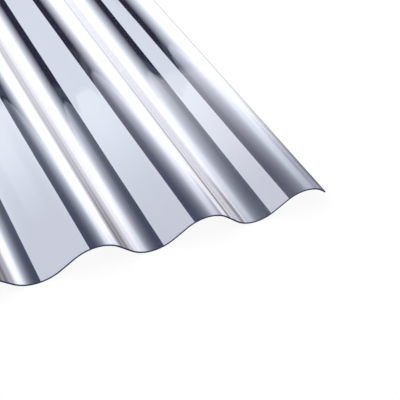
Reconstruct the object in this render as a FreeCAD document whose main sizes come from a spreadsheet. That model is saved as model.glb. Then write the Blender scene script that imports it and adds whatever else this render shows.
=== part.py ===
"""Corrugated PVC roofing sheet with round waves, lying on its troughs.

Frame: millimetres, +Z up, ridges along Y. The origin is on the level surface that the
troughs touch, under the middle of the sheet.

Section: a half wave is a crest arc, a straight flank and a trough arc, tangent to one
another, with the same wall all along. With P the half pitch, D the depth of the wall's
middle surface and F the flank's length, that surface bends at a radius of
(P * P + D * D - F * F) / (4 * D), and the flank stands at twice the angle whose tangent
is D / (P + F).
"""
import FreeCAD, Part
import math
import os
from enum import IntEnum

from Sketcher import Constraint

V = FreeCAD.Vector
UP = V(0, 0, 1)


class Axis(IntEnum):
    """The sketch's own axes, as constraints number them."""
    H = -1
    V = -2


class At(IntEnum):
    """The points of a line or an arc, as constraints number them."""
    START = 1
    END = 2
    CENTRE = 3


ROOT = (Axis.H, At.START)

doc = FreeCAD.newDocument("corrugated_sheet")

# Driving dimensions
sizes = doc.addObject("Spreadsheet::Sheet", "sizes")
rows = (
    ("sheet_length", 2000, "along the ridges"),
    ("sheet_width", 900, "across the ridges, edge to edge"),
    ("wave_pitch", 76, "crest to crest"),
    ("wave_depth", 18, "underside of a trough to top of a crest"),
    ("wall_thickness", 1.1, "square to the surface, the same all along"),
    ("flank_length", 11, "straight stretch between a crest arc and a trough arc"),
    ("edge_past_crest", 17, "from the last crest to the right-hand edge"),
)
for row, (alias, value, meaning) in enumerate(rows, start=1):
    sizes.set(f"A{row}", alias)
    sizes.set(f"B{row}", str(value))
    sizes.setAlias(f"B{row}", alias)
    sizes.set(f"C{row}", meaning)
doc.recompute()


def attached_sketch(body, name, role):
    """Empty sketch of the body, on its own origin plane of that role."""
    sketch = body.newObject("Sketcher::SketchObject", name)
    plane = next(f for f in body.Origin.OriginFeatures if f.Role == role)
    sketch.AttachmentSupport = (plane, [""])
    sketch.MapMode = "FlatFace"
    return sketch


def drive(sketch, name, expression, *constraint):
    """Add a named dimension to the sketch and tie it to the sizes."""
    index = sketch.addConstraint(Constraint(*constraint))
    sketch.renameConstraint(index, name)
    sketch.setExpression(f"Constraints.{name}", expression)


def arc(sketch, centre, radius, first, last):
    """Arc of a circle in the sketch, anticlockwise from one angle to the other."""
    circle = Part.Circle(centre, UP, radius)
    return sketch.addGeometry(Part.ArcOfCircle(circle, first, last))


def draw_half_wave(sketch):
    """Closed section from a crest, on the sketch's V axis, to the next trough."""
    wall = sizes.wall_thickness
    half_pitch = sizes.wave_pitch / 2
    drop = sizes.wave_depth - wall
    flank = sizes.flank_length
    radius = (half_pitch ** 2 + drop ** 2 - flank ** 2) / (4 * drop)
    tilt = 2 * math.atan2(drop, half_pitch + flank)
    lean = V(math.sin(tilt), math.cos(tilt), 0)
    crest_centre = V(0, wall / 2 + drop - radius, 0)
    trough_centre = V(half_pitch, wall / 2 + radius, 0)
    top, bottom = math.pi / 2, 3 * math.pi / 2

    faces = []
    for offset in (wall / 2, -wall / 2):
        crest = arc(sketch, crest_centre, radius + offset, top - tilt, top)
        trough = arc(sketch, trough_centre, radius - offset, bottom - tilt, bottom)
        side = sketch.addGeometry(Part.LineSegment(
            crest_centre + lean * (radius + offset),
            trough_centre - lean * (radius - offset),
        ))
        sketch.addConstraint(Constraint("Tangent", side, At.START, crest, At.START))
        sketch.addConstraint(Constraint("Tangent", side, At.END, trough, At.START))
        faces.append((crest, side, trough))
    (crest_over, side_over, trough_over), (crest_under, _, trough_under) = faces

    ends = []
    for over, under, centre, place in (
        (crest_over, crest_under, crest_centre, V(0, radius, 0)),
        (trough_over, trough_under, trough_centre, V(0, -radius, 0)),
    ):
        half_wall = V(0, wall / 2, 0)
        end = sketch.addGeometry(Part.LineSegment(
            centre + place + half_wall,
            centre + place - half_wall,
        ))
        sketch.addConstraint(Constraint("Coincident", end, At.START, over, At.END))
        sketch.addConstraint(Constraint("Coincident", end, At.END, under, At.END))
        sketch.addConstraint(Constraint("Coincident", over, At.CENTRE, under, At.CENTRE))
        ends.append(end)
    crest_end, trough_end = ends

    sketch.addConstraint(Constraint("PointOnObject", crest_over, At.CENTRE, Axis.V))
    sketch.addConstraint(Constraint("PointOnObject", crest_end, At.START, Axis.V))
    sketch.addConstraint(Constraint("PointOnObject", crest_end, At.END, Axis.V))
    sketch.addConstraint(Constraint("PointOnObject", trough_end, At.END, Axis.H))
    sketch.addConstraint(Constraint("Vertical", trough_end))
    sketch.addConstraint(Constraint("Vertical", trough_over, At.CENTRE, trough_end, At.START))
    sketch.addConstraint(Constraint("Equal", crest_under, trough_over))
    drive(sketch, "half_pitch", "sizes.wave_pitch / 2",
          "DistanceX", *ROOT, trough_end, At.END, half_pitch)
    drive(sketch, "depth", "sizes.wave_depth",
          "DistanceY", *ROOT, crest_end, At.START, sizes.wave_depth)
    drive(sketch, "wall_at_crest", "sizes.wall_thickness",
          "DistanceY", crest_end, At.END, crest_end, At.START, wall)
    drive(sketch, "wall_at_trough", "sizes.wall_thickness",
          "DistanceY", trough_end, At.END, trough_end, At.START, wall)
    drive(sketch, "flank", "sizes.flank_length",
          "Distance", side_over, flank)


def draw_trim(sketch):
    """Two rectangles, one outside each long edge, that the sheet is trimmed back to."""
    reach = sizes.sheet_width / 2 + sizes.wave_pitch
    for side, name in ((1, "right"), (-1, "left")):
        near = side * sizes.sheet_width / 2
        far = side * reach
        half_length = sizes.sheet_length / 2
        corners = [V(near, -half_length, 0), V(far, -half_length, 0),
                   V(far, half_length, 0), V(near, half_length, 0)]
        lines = [sketch.addGeometry(Part.LineSegment(a, b))
                 for a, b in zip(corners, corners[1:] + corners[:1])]
        for line, following in zip(lines, lines[1:] + lines[:1]):
            sketch.addConstraint(Constraint("Coincident", line, At.END, following, At.START))
        front, outer, back, inner = lines
        sketch.addConstraint(Constraint("Horizontal", front))
        sketch.addConstraint(Constraint("Horizontal", back))
        sketch.addConstraint(Constraint("Vertical", outer))
        sketch.addConstraint(Constraint("Symmetric", inner, At.START, inner, At.END, Axis.H))
        drive(sketch, f"{name}_length", "sizes.sheet_length", "Distance", inner, 2 * half_length)
        for line, word, place, expression in (
            (inner, "edge", near, "sizes.sheet_width / 2"),
            (outer, "reach", far, "sizes.sheet_width / 2 + sizes.wave_pitch"),
        ):
            points = [(line, At.START), ROOT] if side < 0 else [ROOT, (line, At.START)]
            drive(sketch, f"{name}_{word}", expression,
                  "DistanceX", *points[0], *points[1], abs(place))


def build_sheet():
    """The sheet: a half wave padded to length, mirrored, repeated across and trimmed."""
    body = doc.addObject("PartDesign::Body", "corrugated_sheet")
    body.Label = "corrugated_sheet"

    section = attached_sketch(body, "half_wave_section", "XZ_Plane")
    section.setExpression("AttachmentOffset.Base.x",
                          "sizes.sheet_width / 2 - sizes.edge_past_crest")
    draw_half_wave(section)
    half_wave = body.newObject("PartDesign::Pad", "half_wave")
    half_wave.Profile = section
    half_wave.SideType = "Symmetric"
    half_wave.setExpression("Length", "sizes.sheet_length")
    doc.recompute()

    waves = body.newObject("PartDesign::MultiTransform", "waves")
    waves.Originals = [half_wave]
    other_half = doc.addObject("PartDesign::Mirrored", "other_half")
    other_half.MirrorPlane = (section, ["V_Axis"])
    across = doc.addObject("PartDesign::LinearPattern", "across")
    across.Direction = (section, ["H_Axis"])
    across.Reversed = True
    across.Mode = "Spacing"
    across.setExpression("Offset", "sizes.wave_pitch")
    across.setExpression("Occurrences", "1 + ceil((sizes.sheet_width - sizes.edge_past_crest"
                         " - sizes.wave_pitch / 2) / sizes.wave_pitch)")
    for step in (other_half, across):
        body.addObject(step)
    waves.Transformations = [other_half, across]
    body.Tip = waves
    doc.recompute()

    trim_section = attached_sketch(body, "trim_section", "XY_Plane")
    draw_trim(trim_section)
    trimmed = body.newObject("PartDesign::Pocket", "trimmed")
    trimmed.Profile = trim_section
    trimmed.SideType = "Symmetric"
    trimmed.Type = "ThroughAll"
    body.Tip = trimmed
    doc.recompute()
    return body


sheet = build_sheet()

for item in doc.Objects:
    if {"Invalid", "Error"} & set(item.State):
        raise RuntimeError(f"{item.Name} failed: {item.State}")
if sheet.Shape.isNull() or not sheet.Shape.isValid():
    raise RuntimeError("the sheet is not a valid solid")
box = sheet.Shape.BoundBox
print("size", round(box.XLength, 4), round(box.YLength, 4), round(box.ZLength, 4))
print("volume in litres", round(sheet.Shape.Volume / 1e6, 5), "solids", len(sheet.Shape.Solids))

os.makedirs("parts", exist_ok=True)
sheet.Shape.exportStep(f"parts/{sheet.Label}.step")
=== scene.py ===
"""Looks for a corrugated clear PVC sheet that lies on its troughs on a pale floor.

Metres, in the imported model's frame: ridges along Y, floor at z = 0.
"""

import bpy
import numpy as np
from mathutils import Matrix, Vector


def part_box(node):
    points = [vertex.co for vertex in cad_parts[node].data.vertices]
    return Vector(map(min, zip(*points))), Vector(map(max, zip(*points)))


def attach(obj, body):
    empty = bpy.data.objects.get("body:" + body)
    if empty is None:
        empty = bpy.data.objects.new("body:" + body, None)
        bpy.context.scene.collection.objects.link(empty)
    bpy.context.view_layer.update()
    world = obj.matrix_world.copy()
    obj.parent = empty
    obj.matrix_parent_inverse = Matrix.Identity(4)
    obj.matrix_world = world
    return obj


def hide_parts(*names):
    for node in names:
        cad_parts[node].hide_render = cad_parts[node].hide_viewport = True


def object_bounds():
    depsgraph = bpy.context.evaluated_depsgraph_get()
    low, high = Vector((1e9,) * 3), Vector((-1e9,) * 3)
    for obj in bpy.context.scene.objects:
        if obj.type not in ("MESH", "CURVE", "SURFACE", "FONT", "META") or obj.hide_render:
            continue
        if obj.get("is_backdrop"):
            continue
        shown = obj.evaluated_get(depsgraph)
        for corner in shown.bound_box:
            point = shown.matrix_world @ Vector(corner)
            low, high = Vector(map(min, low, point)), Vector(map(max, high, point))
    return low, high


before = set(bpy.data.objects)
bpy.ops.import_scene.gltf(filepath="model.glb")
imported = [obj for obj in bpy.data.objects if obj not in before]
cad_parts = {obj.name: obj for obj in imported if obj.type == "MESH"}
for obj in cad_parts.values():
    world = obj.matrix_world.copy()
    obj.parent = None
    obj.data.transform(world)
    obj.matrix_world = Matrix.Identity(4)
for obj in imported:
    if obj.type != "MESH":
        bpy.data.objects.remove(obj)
cad_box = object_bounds()


# The sheet is rigid PVC, extruded flat and clear, pressed into round waves while it is still
# warm, and sawn square on all four sides. Nothing is fixed to it: it is one wall, 1.1 mm
# thick, that rests on the undersides of its troughs.
low, high = (np.array(corner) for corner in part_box("corrugated_sheet"))
WALL = 0.0011
FLANK = 0.011
HALF_PITCH = 0.038
EDGE_PAST_CREST = 0.017
LAST_CREST = high[0] - EDGE_PAST_CREST
DROP = high[2] - low[2] - WALL
BEND = (HALF_PITCH ** 2 + DROP ** 2 - FLANK ** 2) / (4 * DROP)
TILT = 2 * np.arctan2(DROP, HALF_PITCH + FLANK)
POINTS_ACROSS = 1801
POINTS_ALONG = 9


def wave_height(x, side):
    """Height of one face of the wall over the floor, for each place x across the ridges.

    With u the distance to the nearest crest, the face is an arc about the crest's centre
    until it has turned by the tilt, then a straight flank, then an arc about the trough's
    centre. The wall's middle bends at one radius; the upper face (side 1) and the lower face
    (side -1) lie half a wall outside or inside it.
    """
    u = np.abs((x - LAST_CREST + HALF_PITCH) % (2 * HALF_PITCH) - HALF_PITCH)
    crest_radius = BEND + side * WALL / 2
    trough_radius = BEND - side * WALL / 2
    crest_centre = WALL / 2 + DROP - BEND
    trough_centre = WALL / 2 + BEND
    crest = crest_centre + np.sqrt(np.maximum(crest_radius ** 2 - u ** 2, 0))
    v = HALF_PITCH - u
    trough = trough_centre - np.sqrt(np.maximum(trough_radius ** 2 - v ** 2, 0))
    leaves = crest_radius * np.sin(TILT)
    flank = crest_centre + crest_radius * np.cos(TILT) - (u - leaves) * np.tan(TILT)
    in_trough = v < trough_radius * np.sin(TILT)
    return np.where(u < leaves, crest, np.where(in_trough, trough, flank))


def sheet_mesh(name):
    """Closed wall: the upper and the lower face on one grid, joined by the four sawn sides.

    Grid point (i, j) of a face is (x of column j, y of row i, wave height of that x). The
    rim walks once round the grid, and each of its edges carries one face of the wall.
    """
    across = np.linspace(low[0], high[0], POINTS_ACROSS)
    along = np.linspace(low[1], high[1], POINTS_ALONG)
    x, y = np.meshgrid(across, along)
    upper = np.stack([x, y, wave_height(x, 1)], -1).reshape(-1, 3)
    lower = np.stack([x, y, wave_height(x, -1)], -1).reshape(-1, 3)
    index = np.arange(x.size).reshape(x.shape)
    quads = np.stack([index[:-1, :-1], index[:-1, 1:], index[1:, 1:], index[1:, :-1]], -1)
    quads = quads.reshape(-1, 4)
    rim = np.concatenate([index[0, :-1], index[:-1, -1], index[-1, :0:-1], index[:0:-1, 0]])
    following = np.roll(rim, -1)
    sides = np.stack([rim + x.size, following + x.size, following, rim], -1)
    faces = np.concatenate([quads, quads[:, ::-1] + x.size, sides])

    mesh = bpy.data.meshes.new(name)
    mesh.from_pydata(np.concatenate([upper, lower]), [], faces)
    mesh.shade_smooth()
    mesh.set_sharp_from_angle(angle=np.radians(40))
    mesh.validate()
    return mesh


class Socket:
    """A shader value that Python arithmetic can use: each operation adds its Math node."""

    def __init__(self, tree, link):
        self.tree = tree
        self.link = link

    def node(self, kind, settings=(), output=0, **sockets):
        """Add a node of that kind: its settings first, then the values or links it reads."""
        node = self.tree.nodes.new(kind)
        for key, value in dict(settings).items():
            if key == "stops":
                elements = node.color_ramp.elements
                for _ in value[2:]:
                    elements.new(0.5)
                for element, (position, colour) in zip(elements, value):
                    element.position = position
                    element.color = (*colour, 1)
            else:
                setattr(node, key, value)
        for key, value in sockets.items():
            place = node.inputs[int(key[1:]) if key[1:].isdigit() else key.replace("_", " ")]
            if isinstance(value, Socket):
                self.tree.links.new(value.link, place)
            else:
                place.default_value = value
        return Socket(self.tree, node.outputs[output] if node.outputs else None)

    def math(self, operation, *values):
        """Add a Math node of that operation on the values or links."""
        places = {f"_{i}": value for i, value in enumerate(values)}
        return self.node("ShaderNodeMath", {"operation": operation}, **places)

    def between(self, low, high, kind="LINEAR"):
        """0 where this value is under low, 1 where it is over high, and a ramp between."""
        return self.node("ShaderNodeMapRange", {"interpolation_type": kind},
                         Value=self, From_Min=low, From_Max=high)

    def mix(self, first, second, kind="MIX"):
        """The first colour where this value is 0, the second where it is 1."""
        return self.node("ShaderNodeMix", {"data_type": "RGBA", "blend_type": kind},
                         output=2, _0=self, _6=first, _7=second)

    def larger(self, other):
        """The larger of this value and the other."""
        return self.math("MAXIMUM", self, other)

    def size(self):
        """This value without its sign."""
        return self.math("ABSOLUTE", self)

    def outputs(self, *names):
        """The named outputs of the node that this value comes from."""
        return [Socket(self.tree, self.link.node.outputs[name]) for name in names]

    def __add__(self, other):
        return self.math("ADD", self, other)

    def __sub__(self, other):
        return self.math("SUBTRACT", self, other)

    def __mul__(self, other):
        return self.math("MULTIPLY", self, other)

    def __rsub__(self, other):
        return self.math("SUBTRACT", other, self)

    __radd__ = __add__
    __rmul__ = __mul__


def new_material(name):
    """An empty node material, and the wrapper that adds nodes to it."""
    material = bpy.data.materials.new(name)
    material.use_nodes = True
    material.node_tree.nodes.clear()
    return material, Socket(material.node_tree, None)


def object_place(start):
    """Where a point lies in the frame: as a vector, and its x and y."""
    place = start.node("ShaderNodeTexCoord", output="Object")
    x, y = place.node("ShaderNodeSeparateXYZ", Vector=place).outputs("X", "Y")
    return place, x, y


def clear_pvc():
    """Clear PVC with a blue-grey cast: glossy, faint draw lines along the ridges, painted
    reflection lines.
    """
    material, start = new_material("clear_pvc")
    place, x, y = object_place(start)

    # Grain and haze, drawn out along the ridges, and a slower cloud in the gloss.
    stretched = place.node("ShaderNodeMapping", Vector=place, Scale=(1, 0.012, 1))
    lines = stretched.node("ShaderNodeTexNoise", Vector=stretched, Scale=420.0, Detail=3.0)
    drawn = stretched.node("ShaderNodeTexNoise", Vector=stretched, Scale=45.0, Detail=2.0)
    cloud = place.node("ShaderNodeTexNoise", Vector=place, Scale=9.0, Detail=2.0)
    slower = place.node("ShaderNodeMapping", Vector=place,
                        Rotation=(0, 0, 0.04), Scale=(1, 0.06, 1))
    haze = slower.node("ShaderNodeTexNoise", Vector=slower, Scale=55.0, Detail=1.0)

    # The sheet lets light through where it is seen squarely, and shines where it is not.
    facing = start.node("ShaderNodeLayerWeight", output="Facing", Blend=0.5)
    alpha = 0.55 + 0.43 * facing.between(0.0, 0.24)

    # The sawn faces are matt and dark blue, and the last 2 mm along the long edges are dark.
    skin = 0.0002
    sawn = (y.size() - (high[1] - skin)).larger(x.size() - (high[0] - skin))
    sawn = sawn.math("GREATER_THAN", sawn, 0.0)
    trimmed = x.size().between(high[0] - 0.0024, high[0] - 0.0016) * (1.0 - sawn)

    # Painted reflection: fine darker lines painted on the flank right of each crest, plainest
    # at the front end. The waves near the right-hand edge have a wider set. A stop's position
    # is its distance past the crest as a part of the pitch. The last crest has none.
    waves = (x - LAST_CREST) * (0.5 / HALF_PITCH) + 20.0
    waves = waves.math("FRACT", waves)
    narrow, wide = (
        start.node("ShaderNodeValToRGB", {"stops": [
            (position, (value + 0.01, value - 0.01, value)) for position, value in stops
        ]}, Fac=waves)
        for stops in (
            ((0.171, 0.98), (0.180, 0.75), (0.192, 0.54), (0.204, 0.30), (0.216, 0.10),
             (0.228, 0.27), (0.241, 0.36), (0.253, 0.19), (0.264, 0.19), (0.278, 0.32),
             (0.289, 0.47), (0.303, 0.47), (0.316, 0.53), (0.326, 0.66), (0.336, 0.98)),
            ((0.184, 0.98), (0.193, 0.60), (0.203, 0.03), (0.228, 0.03), (0.237, 0.64),
             (0.260, 0.47), (0.278, 0.38), (0.296, 0.68), (0.314, 0.68), (0.330, 0.54),
             (0.345, 0.50), (0.360, 0.60), (0.384, 0.76), (0.410, 0.98)),
        ))
    right_waves = x.between(0.31, 0.33)
    painted_flank_lines = right_waves.mix(narrow, wide)
    strength = 1.0 - 0.22 * y.between(-0.98, -0.93) - 0.2 * y.between(-0.93, -0.84)
    strength = strength * (1.0 - x.between(0.425, 0.435))
    # Painted shade: a darker band past those lines on the right-hand waves, at the front end
    # only.
    painted_flank_band = waves.between(0.345, 0.359) * (1.0 - waves.between(0.386, 0.410))
    painted_flank_band = painted_flank_band * right_waves * (1.0 - y.between(-0.98, -0.945))

    tint = drawn.mix((0.81, 0.838, 0.892, 1), (0.885, 0.895, 0.94, 1))
    tint = (0.5 * haze.between(0.5, 0.65)).mix(tint, (0.90, 0.862, 0.925, 1))
    tint = strength.mix(tint, painted_flank_lines, "MULTIPLY")
    tint = (0.55 * painted_flank_band).mix(tint, (0, 0, 0, 1))

    colour = sawn.mix(tint, (0.045, 0.05, 0.14, 1))
    colour = trimmed.mix(colour, (0.05, 0.05, 0.07, 1))

    # The front corners are a little duller from handling.
    handled = x.size().between(0.335, 0.40, "SMOOTHSTEP")
    handled = handled * (0.04 + 0.15 * y.between(-0.97, -0.85))
    handled = handled * (1.0 - (y + 0.7 * x.size()).between(-0.551, -0.541))
    roughness = 0.02 + 0.03 * lines + 0.03 * cloud + 0.3 * sawn
    bump = place.node("ShaderNodeBump", Strength=0.15, Distance=0.0004,
                      Height=lines * 0.3 + drawn)
    shader = place.node(
        "ShaderNodeBsdfPrincipled",
        Base_Color=colour,
        Metallic=0.985 - handled - 0.7 * sawn,
        Roughness=roughness,
        Alpha=alpha.larger(sawn),
        Normal=bump,
    )
    shader.node("ShaderNodeOutputMaterial", Surface=shader)
    return material


sheet = bpy.data.objects.new("pvc_sheet", sheet_mesh("pvc_sheet"))
bpy.context.scene.collection.objects.link(sheet)
sheet.data.materials.append(clear_pvc())
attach(sheet, "root")
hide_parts("corrugated_sheet")


# The studio floor is a plain white paper sweep, level under the troughs. It keeps a faint
# soft shadow of the sheet, and shows as the white ground of the picture and of reflections.
STUDIO_REACH = 30


def level_plane(name, height, material):
    """A square stage piece, level at that height, that reaches as far as the studio."""
    mesh = bpy.data.meshes.new(name)
    corners = [(x * STUDIO_REACH, y * STUDIO_REACH, height)
               for x, y in ((-1, -1), (1, -1), (1, 1), (-1, 1))]
    mesh.from_pydata(corners, [], [(0, 1, 2, 3)])
    mesh.materials.append(material)
    piece = bpy.data.objects.new(name, mesh)
    bpy.context.scene.collection.objects.link(piece)
    piece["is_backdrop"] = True
    return piece


def white_paper():
    """White paper: mostly its own white to the eye, the rest lit, so that a shadow shows.

    Reflections see painted shade on it: grey in front of the sheet's front end, and of a line
    that slants back from there on the right, and white behind that.
    """
    material, start = new_material("white_paper")
    path = start.node("ShaderNodeLightPath")
    eye, gloss, through = path.outputs("Is Camera Ray", "Is Glossy Ray", "Is Transmission Ray")
    _, x, y = object_place(start)
    beside = (x - high[0]).larger(0.0)
    behind = (y - low[1] - 0.7 * beside).between(0.016, 0.155 + 0.22 * beside, "SMOOTHSTEP")
    white = gloss.mix((1, 1, 1, 1), (1.12, 1.12, 1.12, 1))
    # Painted shade, seen only in reflections: the paper is grey there, darkest close to the
    # sheet's right side.
    grey = beside.between(0.02, 0.14).mix((0.12, 0.12, 0.16, 1), (0.28, 0.28, 0.35, 1))
    shine = (gloss * (1.0 - behind)).mix(white, grey)
    lit = start.node("ShaderNodeBsdfDiffuse", Color=(0.9, 0.9, 0.9, 1))
    shown = start.node("ShaderNodeEmission", Color=shine)
    own_white = 0.92 * eye.larger(gloss + through)
    mixed = start.node("ShaderNodeMixShader", _0=own_white, _1=lit, _2=shown)
    mixed.node("ShaderNodeOutputMaterial", Surface=mixed)
    return material


level_plane("floor", 0, white_paper())


# A card hangs close over the sheet for its gloss alone: pale on the left of a slanting edge,
# dark just right of it and fading to white. It gives no light and casts no shadow.
CARD_HEIGHT = 0.278
CARD_EDGE = 0.2621
CARD_SLANT = 0.1131


def card_colours():
    """The card's colours.

    They go by a point's distance to the right of the slanting edge, and by its depth behind
    the sheet's front end.
    """
    material, start = new_material("reflection_card")
    place, x, y = object_place(start)
    right = x - CARD_EDGE + CARD_SLANT * (y + 0.7)
    depth = y - low[1]

    # A ragged seam runs across the card, and the card is darker beyond it.
    ragged = start.node("ShaderNodeTexNoise", Vector=place, Scale=60.0, Detail=2.0) - 0.5
    seam = depth + 0.015 * ragged - 0.482 - 1.05 * (-0.05 - right).larger(0.0)
    beyond = seam.between(-0.003, 0.003)
    far = (depth - 0.62 * (0.0 - right).larger(0.0)).between(0.22, 0.47, "SMOOTHSTEP")

    pale = far.mix((0.69, 0.722, 0.79, 1), (0.92, 0.97, 1.025, 1))
    pale = beyond.mix(pale, (0.79, 0.84, 0.90, 1))
    dark = far.mix((0.055, 0.064, 0.11, 1), (0.14, 0.155, 0.205, 1))

    # Right of the edge the dark fades to a white that grows with the depth.
    reach = depth - 0.35 * (right - 0.4).larger(0.0)
    ramp = start.node("ShaderNodeValToRGB", {"stops": (
        (0.00, (1.1, 1.1, 1.15)),
        (0.27, (0.6, 0.62, 0.7)),
        (0.40, (0.345, 0.37, 0.43)),
        (0.47, (0.375, 0.40, 0.46)),
        (0.545, (0.70, 0.745, 0.82)),
        (0.59, (0.86, 0.91, 0.99)),
        (0.64, (1.12, 1.17, 1.25)),
        (0.80, (1.44, 1.52, 1.61)),
        (1.00, (1.92, 2.02, 2.13)),
    )}, Fac=(reach + 0.5) * (1 / 1.5))
    fading = right.between(0.06 + 0.05 * beyond, 0.39)
    fading = fading.math("POWER", fading, 1.5 - 0.4 * depth.between(0.18, 0.40) - 0.2 * beyond)

    # Along the seam lies a darker line, and behind it a darker stripe.
    top = seam.between(0.034, 0.038)
    stripe = top.mix((0.045, 0.06, 0.095, 1), (0.01, 0.012, 0.035, 1))
    line = 1.0 - (seam - 0.004).size().between(0.003, 0.006)
    line = line * (1.0 - right.between(0.08, 0.12))
    stripe = line.mix(beyond.mix(dark, stripe), (0.012, 0.02, 0.045, 1))
    grazing = 0.1 * far * right.between(0.105, 0.125) * (1.0 - beyond)
    shaded = ((fading + grazing) * (1.0 - line)).mix(stripe, ramp)

    # Far to the front right the card darkens: the last wave shows that end of the studio.
    corner = (depth - 0.23 - 0.66 * (x - 0.66)).between(
        0.0, 0.12 + 0.44 * (x - 0.76), "SMOOTHSTEP")
    corner = (1.0 - corner) * x.between(0.6, 1.3, "SMOOTHSTEP")
    shaded = corner.mix(shaded, (0.35, 0.355, 0.425, 1))
    colour = right.math("GREATER_THAN", right, 0.0).mix(pale, shaded)

    # The rest of the card shows only from other sides: a plain sweep from white on the left to
    # grey on the right, so that the waves read there too.
    behind = (depth - 1.0 - 1.55 * (x - 0.65).larger(0.0)).between(0.0, 0.3, "SMOOTHSTEP")
    ahead = (0.17 + 0.45 * (x - 0.6).larger(0.0) - depth).between(0.0, 0.15, "SMOOTHSTEP")
    sweep = x.between(-1.3, 0.9, "SMOOTHSTEP").mix((0.98, 0.99, 1.0, 1), (0.58, 0.61, 0.69, 1))
    colour = behind.larger(ahead).mix(colour, sweep)

    # What a flank shows of the next wave comes back from the card a second time.
    ray_depth, = start.node("ShaderNodeLightPath").outputs("Ray Depth")
    twice = ray_depth.between(1.0, 2.0)
    again = depth.between(0.27, 0.34).mix((1.25, 1.26, 1.25, 1), (1.46, 1.45, 1.42, 1))
    colour = (0.85 * twice).mix(colour, again)
    glow = start.node("ShaderNodeEmission", Color=colour)
    glow.node("ShaderNodeOutputMaterial", Surface=glow)
    material.cycles.emission_sampling = "NONE"
    return material


card = level_plane("reflection_card", CARD_HEIGHT, card_colours())
card.visible_camera = False
card.visible_diffuse = False
card.visible_transmission = False
card.visible_shadow = False


# Plain soft studio light: an even white surround, and one wide lamp high on the left that
# leans towards the sheet. The white of the ground is the paper's own.
def studio_light():
    """A surround that is white to the eye and in reflections, at a plain level otherwise."""
    world = bpy.data.worlds.new("studio")
    bpy.context.scene.world = world
    world.use_nodes = True
    tree = world.node_tree
    tree.nodes.clear()
    start = Socket(tree, None)
    path = start.node("ShaderNodeLightPath")
    eye, gloss, through = path.outputs("Is Camera Ray", "Is Glossy Ray", "Is Transmission Ray")
    seen = eye.larger(gloss).larger(through)
    surround = start.node("ShaderNodeBackground", Color=(1, 1, 1, 1),
                          Strength=0.65 + 0.35 * seen)
    surround.node("ShaderNodeOutputWorld", Surface=surround)

    lamp = bpy.data.lights.new("soft_lamp", "AREA")
    lamp.shape = "SQUARE"
    lamp.size = 1.6
    lamp.energy = 45
    holder = bpy.data.objects.new("soft_lamp", lamp)
    holder.location = (-0.9, -0.4, 2.2)
    holder.rotation_euler = (0, np.radians(-22), 0)
    holder.visible_glossy = False
    bpy.context.scene.collection.objects.link(holder)


studio_light()


# The camera stands at the front right corner, as in the photograph: turned from the ridges
# to the right, looking down and slightly rolled.
CAMERA_PLACE = (0.1248, -1.3264, 0.3796)
CAMERA_YAW, CAMERA_PITCH, CAMERA_ROLL = np.radians([34.4, 41.1, 9.6])
camera_data = bpy.data.cameras.new("camera")
camera_data.sensor_width = 36
camera_data.lens = 76.5
camera = bpy.data.objects.new("camera", camera_data)
bpy.context.scene.collection.objects.link(camera)
turn = (Matrix.Rotation(-CAMERA_YAW, 4, "Z")
        @ Matrix.Rotation(np.pi / 2 - CAMERA_PITCH, 4, "X")
        @ Matrix.Rotation(CAMERA_ROLL, 4, "Z"))
camera.matrix_world = Matrix.Translation(CAMERA_PLACE) @ turn
bpy.context.scene.camera = camera

bpy.context.scene.view_settings.view_transform = "Standard"

# The CAD box and the finished model's box.
boxes = {"cad": cad_box, "visual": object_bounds()}
boxes = {name: [list(map(float, corner)) for corner in box] for name, box in boxes.items()}
